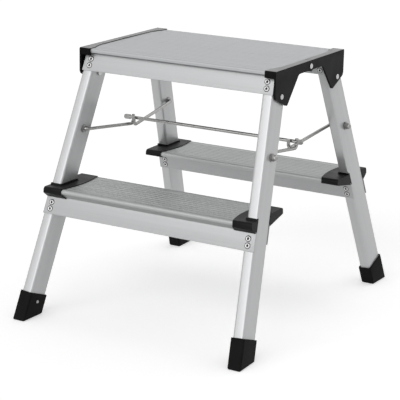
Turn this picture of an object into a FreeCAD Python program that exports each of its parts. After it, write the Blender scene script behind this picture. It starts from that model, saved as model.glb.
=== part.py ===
import FreeCAD, Part
import math
import os

from FreeCAD import Vector

# Double-sided folding step stool, open and standing on the floor.
# Z is up, X runs along the treads, the front of the stool faces -Y.
# The origin is on the floor, in the middle of the footprint.

# Overall
stool_height = 460.0        # floor to the top of the platform's end brackets
lean_deg = 20.6             # each frame leans out from the vertical by this angle
splay_deg = 4.7             # the stiles spread apart towards the floor, in the frame's plane
frame_top_out = 88.4        # stile centre line to the middle of the stool, at platform height
stile_top_x = 173.0         # stile centre line to the middle of the stool, at platform height

# Stiles
stile_width = 20.0
stile_depth = 45.0
stile_wall = 1.5
stile_corner = 4.0
stile_end = 475.0           # lower end, measured down the slope from platform height
stile_over = 60.0           # how far the tube is drawn past its ends before it is cut

# Top rails
rail_top_z = 450.4
rail_bottom_z = 420.5
flange_thick = 1.5
stile_top_gap = 0.3         # stile's end to the rail's web

# Treads
tread_top_z = 227.0
tread_out = 220.0
tread_in = 107.0
tread_skin = 2.4
tread_web = 1.6
lip_radius = 4.7
lip_under = 3.0             # rounding under the lip, on the cap
tread_waist_z = 210.0       # where the skirts meet the stile's faces
skirt_lap = 1.2             # how far the skirts run up past the waist, into the webs
tread_bottom_z = 180.0
groove_count = 10
groove_width = 1.6
groove_depth = 0.7
groove_margin = 11.5        # from a tread's edge to its first groove

# Tread caps
cap_skin = 1.3
cap_wall = 2.2
cap_reach = 13.0            # from the stile's inner face to the cap's corners
cap_bulge = 10.0            # how far the cap's edge bows inwards in the middle
cap_over = 5.0              # how far the bow runs past the tread's edges
collar_rise = 4.0
collar_wall = 2.4
cap_clear = 0.2

# Feet
foot_wall = 2.6
foot_top = 449.0            # down the slope from platform height
foot_round = 4.0
foot_screw_slope = 463.0
foot_screw_head = 3.2
foot_screw_rise = 1.3
foot_screw_length = 8.0
foot_lap = 5.0              # how far the pocket is drawn past the foot's top

# Platform halves
deck_top_z = 458.8
deck_bottom_z = 453.0
deck_skin = 2.2
deck_rib = 1.8
deck_rib_count = 7
deck_front = 125.5
deck_half_length = 185.0
seam_gap = 0.4              # each half's edge to the middle of the stool
deck_groove_count = 10
deck_groove_width = 1.0
deck_groove_depth = 0.4

# End brackets
plate_in = 189.0
plate_out = 192.5
nose_front = 129.0
nose_bottom_z = 447.5
nose_width = 21.0
nose_wall = 3.5
nose_round = 3.0
rib_below_top = 0.6         # the bracket's inner rib stops short of its top
flange_width = 9.0
corner_length = 20.0
leg_below_pivot = 11.0
leg_edge_low_z = 415.0
leg_inner_top = 45.0        # out from the middle, where the leg's slanted edge meets the arm
leg_inner_low = 86.0
leg_inner_low_z = 395.5
arm_bottom_z = 443.0
ear_in = 185.4
ear_gap = 0.2
ear_radius = 9.0
ear_swing = 0.6
ear_arm = 26.0              # how far the front ear's arm runs along the bracket
ledge_width = 11.0
ledge_thick = 2.4
ledge_from = 16.0
ledge_to = 66.0
centre_below_top = 10.5

# Pivots
pivot_slope = 48.5          # stile pivot, down the slope from platform height
pin_radius = 3.0
pin_clear = 0.05
pin_head_radius = 5.6
pin_head_thick = 1.8
pin_tail_radius = 5.0
pin_tail_thick = 1.8
head_taper = 0.62           # a rivet head's top against its foot
centre_tail_radius = 3.3
bush_radius = 7.5

# Braces
rod_radius = 3.0
brace_slope = 149.6
front_rod_x = 167.0
rear_rod_x = 157.5
rod_start_x = 167.8
rod_bend = 5.6
hook_bend = 7.0
hook_low_z = 302.5
hook_tip_z = 319.5
cross_z = 315.5
cross_half = 171.5
cross_touch = 0.05
hook_free = 0.3
paddle_length = 10.5
paddle_height = 8.6
paddle_thick = 3.2
washer_radius = 7.0
washer_thick = 1.2
nut_across = 10.0
nut_height = 4.5
dome_radius = 4.8
nut_depth = 6.0
face_clear = 0.1

# Blind rivets
rivet_head_radius = 4.6
rivet_head_rise = 1.3
rivet_radius = 2.4
rivet_length = 6.0
rivet_eye = 1.4
rivet_pitch = 11.6
rivet_inboard = 2.3         # from the stile's centre line
rail_rivet_z = 440.0
tread_rivet_z = 199.2

big = 1000.0
lean = math.radians(lean_deg)
splay = math.radians(splay_deg)
down = Vector(0, -math.sin(lean), -math.cos(lean))
outward = Vector(0, -math.cos(lean), math.sin(lean))
across = Vector(1, 0, 0)
frame_origin = Vector(0, -frame_top_out, stool_height)
half_depth = stile_depth / 2
skirt_n = half_depth + flange_thick
centre_z = stool_height - centre_below_top


def placement(origin, x_axis, y_axis, z_axis):
    """Placement whose local axes are the three given directions."""
    matrix = FreeCAD.Matrix(
        x_axis.x, y_axis.x, z_axis.x, origin.x,
        x_axis.y, y_axis.y, z_axis.y, origin.y,
        x_axis.z, y_axis.z, z_axis.z, origin.z,
        0, 0, 0, 1)
    return FreeCAD.Placement(matrix)


# Local axes of the right-hand front stile: across it, out of the frame, down along it.
stile_down = down * math.cos(splay) + across * math.sin(splay)
stile_across = across * math.cos(splay) - down * math.sin(splay)
stile_place = placement(frame_origin + across * stile_top_x, stile_across, outward, stile_down)


def stile_x(slope):
    """X of the stile's centre line at a distance down the slope."""
    return stile_top_x + slope * math.tan(splay)


def face_x(slope, side):
    """X of the stile's inner (-1) or outer (+1) face at a distance down the slope."""
    return stile_x(slope) + side * stile_width / 2 / math.cos(splay)


def frame_point(x, slope, out):
    """Point in a front frame: X, distance down the slope, distance out of its mid-plane."""
    return frame_origin + across * x + down * slope + outward * out


def slope_at(z, out):
    """Distance down the slope of the point at height z that lies out of the mid-plane."""
    return (stool_height - z + out * math.sin(lean)) / math.cos(lean)


def out_at(z, out):
    """How far to the front the point at height z lies, out of the frame's mid-plane."""
    return -frame_point(0, slope_at(z, out), out).y


def fuse(shapes):
    """One solid from several that touch or overlap."""
    first = shapes[0]
    return first.multiFuse(shapes[1:]).removeSplitter() if len(shapes) > 1 else first


def corner_arc(before, corner, after, radius):
    """Start, middle and end of the arc that rounds a corner."""
    a = (before - corner).normalize()
    b = (after - corner).normalize()
    half = a.getAngle(b) / 2
    reach = radius / math.tan(half)
    middle = corner + (a + b).normalize() * (radius / math.sin(half) - radius)
    return corner + a * reach, middle, corner + b * reach


def rounded_edges(points, radii, closed):
    """Lines through the points, each corner rounded by its radius."""
    count = len(points)
    starts, ends, edges = list(points), list(points), []
    for i in range(count):
        if radii[i] and (closed or 0 < i < count - 1):
            first, middle, last = corner_arc(points[i - 1], points[i], points[(i + 1) % count], radii[i])
            starts[i], ends[i] = first, last
            edges.append((i, Part.Arc(first, middle, last).toShape()))
    for i in range(count if closed else count - 1):
        a, b = ends[i], starts[(i + 1) % count]
        if a.distanceToPoint(b) > 1e-4:
            edges.append((i + 0.5, Part.LineSegment(a, b).toShape()))
    return [edge for _, edge in sorted(edges, key=lambda pair: pair[0])]


def side_prism(corners, x_from, x_to):
    """Prism along X from an outline of (distance to the front, height, corner radius)."""
    points = [Vector(x_from, -out, z) for out, z, _ in corners]
    edges = rounded_edges(points, [radius for _, _, radius in corners], True)
    return Part.Face(Part.Wire(edges)).extrude(Vector(x_to - x_from, 0, 0))


def block(x0, x1, out0, out1, z0, z1):
    """Box between two X values, two distances to the front and two heights."""
    return Part.makeBox(x1 - x0, out1 - out0, z1 - z0, Vector(x0, -out1, z0))


def rod_x(x0, x1, radius, out, z):
    """Cylinder along X."""
    return Part.makeCylinder(radius, x1 - x0, Vector(x0, -out, z), across)


def wire_rod(points, radii, radius):
    """Bent round wire along a path."""
    spine = Part.Wire(rounded_edges(points, radii, False))
    start = points[0]
    ring = Part.Wire(Part.makeCircle(radius, start, points[1] - start))
    return spine.makePipeShell([ring], True, False)


def stile_box(width, depth, wall_off, z0, z1):
    """Rounded bar in the stile's own axes, with its sides moved in by wall_off."""
    w, d = width - 2 * wall_off, depth - 2 * wall_off
    bar = Part.makeBox(w, d, z1 - z0, Vector(-w / 2, -d / 2, z0))
    long_edges = [e for e in bar.Edges if abs(e.Vertexes[0].Z - e.Vertexes[1].Z) > 1]
    return bar.makeFillet(max(stile_corner - wall_off, 1.0), long_edges)


def in_stile(shape):
    """Shape drawn in the stile's axes, put in its place."""
    moved = shape.copy()
    moved.Placement = stile_place.multiply(shape.Placement)
    return moved


def stile_zone(x0, x1):
    """Everything between two distances across the stile, as long as the stool."""
    return in_stile(Part.makeBox(x1 - x0, big, big, Vector(x0, -big / 2, -big / 3)))


def left(shape):
    """Mirror image on the other end of the stool."""
    return shape.mirror(Vector(0, 0, 0), Vector(1, 0, 0))


def rear(shape):
    """The same piece on the rear half."""
    turned = shape.copy()
    turned.rotate(Vector(0, 0, 0), Vector(0, 0, 1), 180)
    return turned


def both(shape):
    """Right and left copies as one group of solids."""
    return Part.makeCompound([shape, left(shape)])


def rivet_points(top_z, side):
    """Centres of the two rivets at the right end of a rail, on the outer or inner skirt."""
    first = slope_at(top_z, side * half_depth)
    slopes = [first, first + rivet_pitch]
    return [frame_point(stile_x(s) - rivet_inboard, s, side * skirt_n) for s in slopes]


def blind_rivet(centre, side):
    """Domed head with its mandrel hole, and the shank behind it."""
    direction = outward * side
    shank = Part.makeCylinder(rivet_radius, rivet_length, centre - direction * rivet_length, direction)
    top = rivet_head_radius * head_taper
    head = Part.makeCone(rivet_head_radius, top, rivet_head_rise, centre, direction)
    eye_floor = centre + direction * rivet_head_rise / 3
    eye = Part.makeCylinder(rivet_eye, 2 * rivet_head_rise, eye_floor, direction)
    return head.cut(eye).fuse(shank).removeSplitter()


def rivet_row(top_z):
    """Four rivets at the right end of a rail: two outside, two inside."""
    rivets = []
    for side in (1, -1):
        rivets += [blind_rivet(point, side) for point in rivet_points(top_z, side)]
    return rivets


def rivet_holes(top_z):
    """Shanks of the rivets at the right end, as cutters."""
    cutters = []
    for side in (1, -1):
        for point in rivet_points(top_z, side):
            start = point - outward * side * rivet_length
            cutters.append(Part.makeCylinder(rivet_radius, 2 * rivet_length, start, outward * side))
    return cutters


def pivot_point():
    """Stile pivot in the side view: distance to the front and height."""
    point = frame_point(0, pivot_slope, 0)
    return -point.y, point.z


def brace_point():
    """Brace pivot in the side view: distance to the front and height."""
    point = frame_point(0, brace_slope, 0)
    return -point.y, point.z


def stile():
    """Right-hand front stile: rounded rectangular tube with its holes."""
    tube = stile_box(stile_width, stile_depth, 0, -stile_over, stile_end)
    hollow = stile_box(stile_width, stile_depth, stile_wall, -2 * stile_over, stile_end + stile_over)
    tube = in_stile(tube.cut(hollow))
    top = rail_top_z - flange_thick - stile_top_gap
    tube = tube.cut(block(0, big, -big, big, top, top + big))
    out, z = pivot_point()
    tube = tube.cut(rod_x(0, big, pin_radius, out, z))
    out, z = brace_point()
    tube = tube.cut(rod_x(0, big, rod_radius + pin_clear, out, z))
    return tube.cut(rivet_holes(rail_rivet_z) + rivet_holes(tread_rivet_z) + [foot_screw(rivet_radius)])


def skirt(side, top_z, bottom_z):
    """Flat flange on the stiles' outer (+1) or inner (-1) face, along the whole stool."""
    face, skin = side * half_depth, side * skirt_n
    corners = [(out_at(top_z, face), top_z, 0), (out_at(top_z, skin), top_z, 0),
               (out_at(bottom_z, skin), bottom_z, 0), (out_at(bottom_z, face), bottom_z, 0)]
    return side_prism(corners, -big / 3, big / 3)


def trim_ends(shape, across_from):
    """Cut a rail off along the slant of the stiles at both ends."""
    cutter = stile_zone(across_from, big)
    return shape.cut([cutter, left(cutter)])


def top_rail():
    """Extruded channel over the tops of the stiles, riveted on both faces."""
    web = block(-big / 3, big / 3, out_at(rail_top_z, -skirt_n), out_at(rail_top_z, skirt_n),
                rail_top_z - flange_thick, rail_top_z)
    rail = fuse([web, skirt(1, rail_top_z, rail_bottom_z), skirt(-1, rail_top_z, rail_bottom_z)])
    rail = trim_ends(rail, stile_width / 2)
    holes = rivet_holes(rail_rivet_z)
    return rail.cut(holes + [left(hole) for hole in holes])


def strip(out0, z0, out1, z1, thick):
    """Wall of an extrusion between two points of its section."""
    length = math.hypot(out1 - out0, z1 - z0)
    dx, dz = -(z1 - z0) / length * thick, (out1 - out0) / length * thick
    corners = [(out0, z0, 0), (out1, z1, 0), (out1 + dx, z1 + dz, 0), (out0 + dx, z0 + dz, 0)]
    return side_prism(corners, -big / 3, big / 3)


def tread_body():
    """Section of the tread above the stiles' faces: ribbed top, rounded lips and slanted webs."""
    top = block(-big / 3, big / 3, tread_in + lip_radius, tread_out - lip_radius,
                tread_top_z - tread_skin, tread_top_z)
    pitch = (tread_out - tread_in - 2 * groove_margin) / (groove_count - 1)
    for i in range(groove_count):
        middle = tread_in + groove_margin + i * pitch
        top = top.cut(block(-big / 3, big / 3, middle - groove_width / 2, middle + groove_width / 2,
                            tread_top_z - groove_depth, tread_top_z + 1))
    lip_z = tread_top_z - lip_radius
    front_lip = rod_x(-big / 3, big / 3, lip_radius, tread_out - lip_radius, lip_z)
    rear_lip = rod_x(-big / 3, big / 3, lip_radius, tread_in + lip_radius, lip_z)
    low = lip_z - lip_radius * 0.7
    front_web = strip(out_at(tread_waist_z, skirt_n), tread_waist_z,
                      tread_out - lip_radius * 0.6, low, tread_web)
    rear_web = strip(tread_in + lip_radius * 0.6, low,
                     out_at(tread_waist_z, -skirt_n), tread_waist_z, tread_web)
    return fuse([top, front_lip, rear_lip, front_web, rear_web])


def tread():
    """Lower tread: the body stops short of the stiles, its two skirts are riveted to them."""
    body = trim_ends(tread_body(), -stile_width / 2 - 2 * cap_clear)
    waist = tread_waist_z + skirt_lap
    skirts = [trim_ends(skirt(side, waist, tread_bottom_z), stile_width / 2) for side in (1, -1)]
    whole = fuse([body] + skirts)
    holes = rivet_holes(tread_rivet_z)
    return whole.cut(holes + [left(hole) for hole in holes])


def tread_outline(grow):
    """Outline of the tread's section, moved out by a skin."""
    low = tread_top_z - 2 * lip_radius
    return [(tread_out + grow, tread_top_z + grow, lip_radius), (tread_out + grow, low, lip_under),
            (out_at(tread_waist_z, skirt_n) + grow, tread_waist_z - grow, 0),
            (out_at(tread_waist_z, -skirt_n) - grow, tread_waist_z - grow, 0),
            (tread_in - grow, low, lip_under), (tread_in - grow, tread_top_z + grow, lip_radius)]


def cap_edge():
    """Cutter that gives the cap its bowed inner edge."""
    outer = face_x(slope_at(tread_top_z, 0), -1) - cap_reach
    middle = (tread_out + tread_in) / 2
    front, back = tread_out + cap_over, tread_in - cap_over
    low = tread_bottom_z - cap_over
    a, b = Vector(outer, -front, low), Vector(outer, -back, low)
    arc = Part.Arc(a, Vector(outer - cap_bulge, -middle, low), b).toShape()
    far = [b, Vector(-big, -back, low), Vector(-big, -front, low), a]
    edges = [arc] + [Part.LineSegment(far[i], far[i + 1]).toShape() for i in range(3)]
    return Part.Face(Part.Wire(edges)).extrude(Vector(0, 0, big))


def tread_cap():
    """Moulded cap over the right end of the front tread, open along the stile's outer face."""
    shell = side_prism(tread_outline(cap_skin), 0, big / 3)
    inner = side_prism(tread_outline(cap_skin - cap_wall), 0, big / 3)
    shell = shell.cut(inner.cut(stile_zone(stile_width / 2 - cap_wall, big)))
    collar = in_stile(stile_box(stile_width + 2 * collar_wall, stile_depth + 2 * collar_wall, 0, 0, stile_end))
    collar = collar.common(block(0, big, 0, big, tread_waist_z, tread_top_z + collar_rise))
    body = shell.fuse(collar)
    clear = in_stile(stile_box(stile_width + 2 * cap_clear, stile_depth + 2 * cap_clear, 0, 0, stile_end))
    seat = side_prism(tread_outline(0), 0, big / 3).common(stile_zone(-big, -stile_width / 2 - cap_clear))
    waist = tread_waist_z + skirt_lap
    skirts = fuse([skirt(side, waist, tread_bottom_z) for side in (1, -1)])
    return body.cut([clear, seat, skirts, cap_edge(), stile_zone(stile_width / 2, big)]).removeSplitter()


def foot_screw(radius):
    """Shank of the screw that holds a foot, through the stile's inner face."""
    start = Vector(-stile_width / 2 - foot_wall, 0, foot_screw_slope)
    return in_stile(Part.makeCylinder(radius, foot_screw_length, start, across))


def foot_screws():
    """Pan-head screw in the inner face of the right-hand foot."""
    base = Vector(-stile_width / 2 - foot_wall, 0, foot_screw_slope)
    top = foot_screw_head * head_taper
    head = Part.makeCone(foot_screw_head, top, foot_screw_rise, base, Vector(-1, 0, 0))
    return in_stile(head).fuse(foot_screw(rivet_radius)).removeSplitter()


def foot():
    """Soft foot that sleeves the stile's end, cut level with the floor."""
    outer = stile_box(stile_width + 2 * foot_wall, stile_depth + 2 * foot_wall, 0, foot_top, stile_end + stile_over)
    body = in_stile(outer).cut(block(0, big, -big, big, -big, 0))
    rim = [e for e in body.Edges if all(abs(v.Z) < 1e-6 for v in e.Vertexes)]
    body = body.makeChamfer(foot_round / 2, rim)
    pocket = in_stile(stile_box(stile_width, stile_depth, 0, foot_top - foot_lap, stile_end))
    return body.cut([pocket, foot_screw(rivet_radius)])


def deck():
    """Front half of the platform: grooved skin on ribs, with a rounded front edge."""
    height = deck_top_z - deck_bottom_z
    length = deck_half_length
    skin = block(-length, length, seam_gap, deck_front - height / 2, deck_top_z - deck_skin, deck_top_z)
    nose = rod_x(-length, length, height / 2, deck_front - height / 2, deck_bottom_z + height / 2)
    span = deck_front - height / 2 - seam_gap
    ribs = []
    for i in range(deck_rib_count):
        at = seam_gap + i * (span - deck_rib) / (deck_rib_count - 1)
        ribs.append(block(-length, length, at, at + deck_rib, deck_bottom_z, deck_top_z - deck_skin / 2))
    whole = fuse([skin, nose] + ribs)
    pitch = span / (deck_groove_count + 1)
    grooves = []
    for i in range(deck_groove_count):
        at = seam_gap + (i + 1) * pitch
        grooves.append(block(-length, length, at - deck_groove_width / 2, at + deck_groove_width / 2,
                             deck_top_z - deck_groove_depth, deck_top_z + 1))
    return whole.cut(grooves)


def plate_outline():
    """Side view of a front bracket's plate."""
    return [(seam_gap, stool_height, 0), (nose_front, stool_height, nose_round), (nose_front, leg_edge_low_z, 9.0),
            (leg_inner_low, leg_inner_low_z, 5.0), (leg_inner_top, arm_bottom_z, 10.0),
            (seam_gap, arm_bottom_z, 0)]


def bracket_body():
    """Right-hand bracket without its centre ear: plate, top flange, nose, rib and ledge."""
    out_pivot, z_pivot = pivot_point()
    plate = side_prism(plate_outline(), plate_in, plate_out)
    lowest = frame_point(0, pivot_slope + leg_below_pivot, 0)
    below = Part.makeBox(big, big, big, Vector(-big / 2, -big / 2, 0))
    below.Placement = placement(Vector(0, lowest.y, lowest.z), across, outward, down)
    plate = plate.cut(below)
    flange = block(plate_out - flange_width, plate_out, seam_gap, nose_front - 1, deck_top_z, stool_height)
    corner_in = plate_out - nose_width
    back = nose_front - corner_length
    step = nose_width - flange_width
    corner = Part.Face(Part.makePolygon([
        Vector(corner_in, -nose_front + 1, deck_top_z), Vector(plate_out, -nose_front + 1, deck_top_z),
        Vector(plate_out, -back + step, deck_top_z), Vector(plate_out - flange_width, -back + step, deck_top_z),
        Vector(corner_in, -back, deck_top_z), Vector(corner_in, -nose_front + 1, deck_top_z)]))
    corner = corner.extrude(Vector(0, 0, stool_height - deck_top_z))
    nose = side_prism([(nose_front - nose_wall - 1, nose_bottom_z, 0), (nose_front - nose_wall - 1, stool_height, 0),
                       (nose_front, stool_height, nose_round), (nose_front, nose_bottom_z, 2.0)], corner_in, plate_in + 1)
    rib = block(deck_half_length, plate_in + 1, seam_gap, nose_front - 2, deck_bottom_z, stool_height - rib_below_top)
    ledge = block(plate_in - ledge_width, plate_in + 1, ledge_from, ledge_to,
                  deck_bottom_z - ledge_thick, deck_bottom_z)
    body = fuse([plate, flange, corner, nose, rib, ledge])
    hole = rod_x(0, big, pin_radius + pin_clear, out_pivot, z_pivot)
    return body.cut([hole, deck()])


def front_bracket():
    """Right-hand front bracket: its ear lies inside the rear bracket's."""
    swing = rod_x(plate_in - ear_gap, big, ear_radius + ear_swing, 0, centre_z)
    body = bracket_body().cut(swing.common(block(0, big, -big, ear_radius + ear_swing, 0, deck_top_z)))
    ear = rod_x(ear_in, plate_in - ear_gap, ear_radius, 0, centre_z)
    arm = block(ear_in, plate_in - ear_gap, 0, ear_arm, arm_bottom_z, deck_top_z)
    tie = block(ear_in, plate_in + 1, ear_radius + ear_swing + 1, ear_arm, arm_bottom_z, deck_top_z)
    body = fuse([body, ear, arm, tie]).cut(block(0, big, -seam_gap, seam_gap, centre_z + ear_radius * 0.99, big))
    return body.cut(rod_x(0, big, pin_radius + pin_clear, 0, centre_z))


def rear_bracket():
    """The bracket of the rear half, drawn at the front right before it is turned round."""
    swing = rod_x(0, plate_in, ear_radius + ear_swing, 0, centre_z)
    body = bracket_body().cut(swing.common(block(0, big, -big, big, 0, deck_top_z)))
    ear = rod_x(plate_in, plate_out, ear_radius, 0, centre_z)
    body = body.cut(block(0, big, -big, ear_radius, 0, centre_z))
    bridge = block(plate_in, plate_out, ear_radius * 0.6, ear_radius + 1, arm_bottom_z, centre_z)
    return fuse([body, ear, bridge]).cut(rod_x(0, big, pin_radius, 0, centre_z))


def rivet_pin(x_in, x_out, out, z, tail):
    """Pivot rivet along X with a domed outer head and a flat tail."""
    shank = rod_x(x_in, x_out, pin_radius, out, z)
    foot_disc = rod_x(x_in - pin_tail_thick, x_in, tail, out, z)
    top = pin_head_radius * head_taper
    head = Part.makeCone(pin_head_radius, top, pin_head_thick, Vector(x_out, -out, z), across)
    return fuse([shank, foot_disc, head])


def stile_pin():
    """Rivet through the right-hand bracket's leg, the bush and the stile."""
    out, z = pivot_point()
    inner = face_x(pivot_slope, -1) - pin_tail_radius * math.tan(splay) - face_clear
    return rivet_pin(inner, plate_out + face_clear, out, z, pin_tail_radius)


def stile_bush():
    """Plastic spacer between the bracket's leg and the slanted face of the stile."""
    out, z = pivot_point()
    bush = rod_x(stile_x(pivot_slope), plate_in - face_clear, bush_radius, out, z)
    bush = bush.cut(stile_zone(-big, stile_width / 2))
    return bush.cut(rod_x(0, big, pin_radius, out, z))


def centre_pin():
    """Rivet through the two ears of the right-hand brackets."""
    return rivet_pin(ear_in - face_clear, plate_out + face_clear, 0, centre_z, centre_tail_radius)


def brace_rod(knee_x, riser_out):
    """Right-hand front brace: pin end in the stile, shank, and a hook that opens upwards."""
    out, z = brace_point()
    tip_x = face_x(brace_slope, 1) + washer_thick + nut_depth
    points = [Vector(tip_x, -out, z), Vector(rod_start_x, -out, z),
              Vector(knee_x, -riser_out, hook_low_z), Vector(knee_x, -riser_out, hook_tip_z)]
    return wire_rod(points, [0, rod_bend, hook_bend, 0], rod_radius)


def front_brace_rod():
    """Its hook passes under the cross rod and rises behind it."""
    return brace_rod(front_rod_x, -2 * rod_radius - cross_touch)


def rear_brace_rod():
    """Drawn at the front right: its hook rises on the far side of the cross rod too, with play."""
    return brace_rod(rear_rod_x, -2 * rod_radius - hook_free)


def cross_rod():
    """Rod that joins the two knees and serves as the fold handle, with flattened ends."""
    rod = rod_x(-cross_half, cross_half, rod_radius, 0, cross_z)
    half_t, half_h = paddle_thick / 2, paddle_height / 2
    paddle = block(cross_half - 2, cross_half + paddle_length, -half_t, half_t, cross_z - half_h, cross_z + half_h)
    tips = [e for e in paddle.Edges if all(abs(v.X - cross_half - paddle_length) < 1e-6 for v in e.Vertexes)
            and abs(e.Vertexes[0].Y - e.Vertexes[1].Y) > 1]
    paddle = paddle.makeFillet(half_h * 0.8, tips)
    return fuse([rod, paddle, left(paddle)])


def washer_seat(side):
    """X where a washer just clears the slanted face of the stile."""
    return face_x(brace_slope, side) + side * (washer_radius * math.tan(splay) + face_clear)


def brace_washers():
    """Washers on the right-hand front brace pin, outside and inside the stile."""
    out, z = brace_point()
    rings = []
    for side in (1, -1):
        seat = washer_seat(side)
        ring = rod_x(min(seat, seat + side * washer_thick), max(seat, seat + side * washer_thick),
                     washer_radius, out, z)
        rings.append(ring.cut(rod_x(0, big, rod_radius, out, z)))
    return rings


def dome_nut():
    """Cap nut on the threaded end of the right-hand front brace."""
    out, z = brace_point()
    start = washer_seat(1) + washer_thick
    radius = nut_across / 2 / math.cos(math.pi / 6)
    ring = [Vector(start, -out + radius * math.cos(k * math.pi / 3), z + radius * math.sin(k * math.pi / 3))
            for k in range(7)]
    hexagon = Part.Face(Part.makePolygon(ring)).extrude(Vector(nut_height, 0, 0))
    dome = Part.makeSphere(dome_radius, Vector(start + nut_height, -out, z))
    dome = dome.common(block(start + nut_height - 0.5, big, out - 20, out + 20, z - 20, z + 20))
    bore = rod_x(0, face_x(brace_slope, 1) + washer_thick + nut_depth, rod_radius, out, z)
    return hexagon.fuse(dome).removeSplitter().cut(bore)


def save(name, shape):
    """One STEP file per named piece."""
    shape.exportStep("parts/" + name + ".step")


def save_frame():
    """The pieces of the front frame and, turned round, of the rear frame."""
    right = {"stile": stile(), "tread_cap": tread_cap(), "foot": foot()}
    for name, shape in right.items():
        save("front_" + name + "_right", shape)
        save("front_" + name + "_left", left(shape))
        save("rear_" + name + "_left", rear(shape))
        save("rear_" + name + "_right", rear(left(shape)))
    rail_rivets, tread_rivets = rivet_row(rail_rivet_z), rivet_row(tread_rivet_z)
    whole = {
        "top_rail": top_rail(), "tread": tread(),
        "rail_rivets": Part.makeCompound(rail_rivets + [left(r) for r in rail_rivets]),
        "tread_rivets": Part.makeCompound(tread_rivets + [left(r) for r in tread_rivets]),
        "foot_screws": both(foot_screws()), "pivot_rivets": both(stile_pin()), "pivot_bushes": both(stile_bush())}
    for name, shape in whole.items():
        save("front_" + name, shape)
        save("rear_" + name, rear(shape))


def save_platform():
    """The two halves of the platform with their end brackets."""
    half = deck()
    save("front_platform", half)
    save("rear_platform", rear(half))
    bracket = front_bracket()
    save("front_bracket_right", bracket)
    save("front_bracket_left", left(bracket))
    turned = rear(rear_bracket())
    save("rear_bracket_left", turned)
    save("rear_bracket_right", left(turned))
    save("centre_rivets", both(centre_pin()))


def save_braces():
    """The wire braces, their knees' cross rod, and the nuts and washers on their ends."""
    front_rod, rear_rod = front_brace_rod(), rear(rear_brace_rod())
    save("front_brace_right", front_rod)
    save("front_brace_left", left(front_rod))
    save("rear_brace_left", rear_rod)
    save("rear_brace_right", left(rear_rod))
    save("cross_rod", cross_rod())
    washers, nut = brace_washers(), dome_nut()
    washers = Part.makeCompound(washers + [left(ring) for ring in washers])
    for prefix, move in (("front_", lambda shape: shape), ("rear_", rear)):
        save(prefix + "brace_washers", move(washers))
        save(prefix + "brace_nuts", move(both(nut)))


os.makedirs("parts", exist_ok=True)
save_frame()
save_platform()
save_braces()
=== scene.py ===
# %% [markdown]
# # A double-sided folding step stool
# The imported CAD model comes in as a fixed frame, in metres, with every node in its place and riding on
# its body. A piece could be modelled from nothing, but then it would have to be fitted to the joints by
# eye. So each finer piece here starts from the same few sizes as the CAD solid, or from a copy of it.

# %% Load the frame
import math

import bmesh
import bpy
from mathutils import Matrix, Quaternion, Vector


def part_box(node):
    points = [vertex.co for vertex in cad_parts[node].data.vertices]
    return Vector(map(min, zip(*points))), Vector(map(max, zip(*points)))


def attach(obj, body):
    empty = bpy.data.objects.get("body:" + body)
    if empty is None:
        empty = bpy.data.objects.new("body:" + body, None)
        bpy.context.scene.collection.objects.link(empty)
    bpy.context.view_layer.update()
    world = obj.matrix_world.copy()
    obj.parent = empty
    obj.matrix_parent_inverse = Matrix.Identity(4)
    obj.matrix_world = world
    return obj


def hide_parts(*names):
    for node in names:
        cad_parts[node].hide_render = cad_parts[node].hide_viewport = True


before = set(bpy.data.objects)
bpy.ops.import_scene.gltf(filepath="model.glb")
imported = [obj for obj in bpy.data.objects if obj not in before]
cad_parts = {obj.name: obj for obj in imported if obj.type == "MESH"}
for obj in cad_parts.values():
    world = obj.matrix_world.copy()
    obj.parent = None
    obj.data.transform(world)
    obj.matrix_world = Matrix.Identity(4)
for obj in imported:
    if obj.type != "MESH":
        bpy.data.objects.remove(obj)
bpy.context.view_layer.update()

# %% [markdown]
# ## Camera
# The photograph was taken with a long lens from the front right, a little above the platform. The
# camera could be placed by hand, but matching edges by eye takes many tries. Its angles, distance and
# focal length come instead from a fit of known points on the stool to their places in the picture.

# %% Camera
camera_turn = math.radians(29.994)
camera_rise = math.radians(15.706)
camera_roll = math.radians(1.092)
camera_distance = 2.7935
camera_aim = Vector((-0.0137, -0.0102, 0.1847))
picture_side = 400
focal_length_in_pixels = 1558.94


def camera_back():
    """Direction from the stool to the camera."""
    flat = math.cos(camera_rise)
    return Vector((math.sin(camera_turn) * flat, -math.cos(camera_turn) * flat, math.sin(camera_rise)))


camera = bpy.data.objects.new("camera", bpy.data.cameras.new("camera"))
bpy.context.scene.collection.objects.link(camera)
bpy.context.scene.camera = camera
camera.rotation_mode = "QUATERNION"
camera.location = camera_aim + camera_back() * camera_distance
camera.rotation_quaternion = (-camera_back()).to_track_quat("-Z", "Y") @ Quaternion((0, 0, 1), camera_roll)
camera.data.sensor_width = 36
camera.data.lens = focal_length_in_pixels / picture_side * camera.data.sensor_width
bpy.context.scene.view_settings.view_transform = "Standard"
print("Lens in millimetres:", round(camera.data.lens, 1))

# %% [markdown]
# ## Studio
# A product picture on white needs a white surround and soft light with a direction. One bright dome
# would light every side alike and flatten the metal. Here the dome is white only to the camera and to
# reflections, its light on the stool is half as strong, and two broad suns model the form.

# %% Surround
surround_light = 0.42


def white_to_rays(nodes, links):
    """A value that is 1 for rays that see the surround directly or in a reflection."""
    path = nodes.new("ShaderNodeLightPath")
    first = nodes.new("ShaderNodeMath")
    first.operation = "MAXIMUM"
    second = nodes.new("ShaderNodeMath")
    second.operation = "MAXIMUM"
    links.new(path.outputs["Is Camera Ray"], first.inputs[0])
    links.new(path.outputs["Is Glossy Ray"], first.inputs[1])
    links.new(first.outputs[0], second.inputs[0])
    links.new(path.outputs["Is Transmission Ray"], second.inputs[1])
    return second.outputs[0]


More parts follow.
